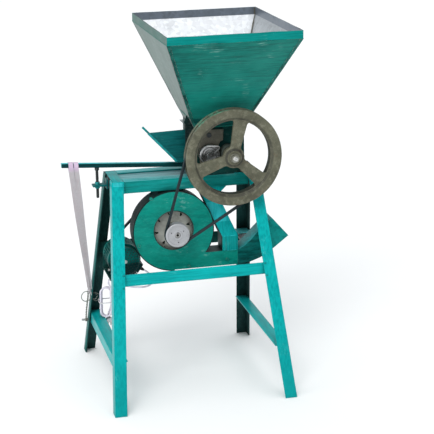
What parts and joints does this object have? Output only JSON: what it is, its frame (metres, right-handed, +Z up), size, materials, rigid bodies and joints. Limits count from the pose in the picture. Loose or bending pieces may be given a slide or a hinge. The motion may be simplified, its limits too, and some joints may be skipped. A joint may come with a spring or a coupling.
{
  "type": "roll grain huller",
  "caption": "Twin-roll grain huller with a tapered hopper, spoked belt wheel, winnowing fan and blown outlet on an angle-iron stand.",
  "frame": {"origin": "on the floor under the middle of the machine, without its mains lead", "axes": "+Z up, +X to the right along the front, +Y to the rear; the wheel is at the front"},
  "size_m": [0.744, 0.64, 1.215],
  "materials": {
    "teal_paint": "bright teal brush paint on mild steel",
    "green_paint": "dark green-teal brush paint on sheet steel",
    "cast_iron": "olive-brown painted sand casting",
    "galvanised": "galvanised sheet",
    "aluminium": "turned aluminium",
    "steel": "bright steel",
    "black_rubber": "black rubber",
    "motor_paint": "very dark green paint",
    "pink_rubber": "pale pink elastic rubber strip",
    "white_cable": "white PVC cable sheath",
    "grey_plastic": "grey moulded plastic",
    "black_paint": "black paint"
  },
  "bodies": {
    "stand": {"band_pin": "steel", "belt_front": "black_rubber", "belt_rear": "black_rubber", "brace_left": "teal_paint", "brace_right": "teal_paint", "capacitor": "grey_plastic", "chamber_front": "green_paint", "chamber_left": "black_paint", "chamber_rear": "green_paint", "chamber_right": "green_paint", "drop_chute": "teal_paint", "fan_front": "green_paint", "fan_hanger": "teal_paint", "fan_scroll": "green_paint", "hopper": "green_paint", "lead_gland": "black_rubber", "lead_hank": "white_cable", "lead_tube": "white_cable", "leg_front_left": "teal_paint", "leg_front_right": "teal_paint", "leg_rear_left": "teal_paint", "leg_rear_right": "teal_paint", "main_bearing_front": "cast_iron", "main_bearing_rear": "cast_iron", "motor_body": "motor_paint", "motor_bracket": "teal_paint", "outlet_duct": "green_paint", "pivot_shaft": "steel", "plug": "grey_plastic", "rail_low_front": "teal_paint", "rail_low_rear": "teal_paint", "rail_top_front": "teal_paint", "rail_top_left": "teal_paint", "rail_top_rear": "teal_paint", "rail_top_right": "teal_paint", "side_tray": "green_paint", "stop_bracket": "teal_paint", "table_plate": "teal_paint", "wire_tie": "steel"},
    "main_rotor": {"main_shaft": "steel", "fixed_roll": "steel", "wheel": "cast_iron", "wheel_nut": "steel", "gear_fast": "steel"},
    "fan_rotor": {"impeller": "galvanised", "fan_shaft": "steel", "fan_pulley": "aluminium", "fan_rear_pulley": "cast_iron"},
    "motor_rotor": {"motor_shaft": "steel", "motor_pulley": "cast_iron"},
    "swing_frame": {"arm_front": "cast_iron", "arm_rear": "cast_iron", "roll_bearing_front": "aluminium", "lever": "teal_paint", "elastic_band": "pink_rubber"},
    "movable_roll_rotor": {"movable_roll_shaft": "steel", "movable_roll": "black_rubber", "gear_slow": "steel"},
    "gate": {"feed_gate": "galvanised"},
    "stop": {"stop_screw": "black_paint"}
  },
  "joints": [
    {"name": "main_shaft_spin", "type": "hinge", "parent": "stand", "child": "main_rotor", "pos_m": [0.169, 0, 0.793], "axis": [0, 1, 0], "continuous": true},
    {"name": "fan_spin", "type": "hinge", "parent": "stand", "child": "fan_rotor", "pos_m": [-0.023, 0, 0.546], "axis": [0, 1, 0], "continuous": true},
    {"name": "motor_spin", "type": "hinge", "parent": "stand", "child": "motor_rotor", "pos_m": [-0.172, 0, 0.424], "axis": [0, 1, 0], "continuous": true},
    {"name": "swing", "type": "hinge", "parent": "stand", "child": "swing_frame", "pos_m": [0.1045, 0, 0.856], "axis": [0, 1, 0], "range_deg": [0, 4], "stiffness_Nm_per_rad": 20, "springref_deg": -20.05, "deforming": ["elastic_band"]},
    {"name": "movable_roll_spin", "type": "hinge", "parent": "swing_frame", "child": "movable_roll_rotor", "pos_m": [0.103, 0, 0.793], "axis": [0, 1, 0], "continuous": true},
    {"name": "gate_slide", "type": "slide", "parent": "stand", "child": "gate", "axis": [-1, 0, 0], "range_m": [0, 0.13]},
    {"name": "stop_screw_travel", "type": "slide", "parent": "stand", "child": "stop", "axis": [0, 0, 1], "range_m": [-0.012, 0]}
  ],
  "couplings": [
    {"joint": "fan_spin", "follows": "main_shaft_spin", "ratio": 4},
    {"joint": "motor_spin", "follows": "main_shaft_spin", "ratio": 6.2857},
    {"joint": "movable_roll_spin", "follows": "main_shaft_spin", "ratio": -0.83333}
  ]
}
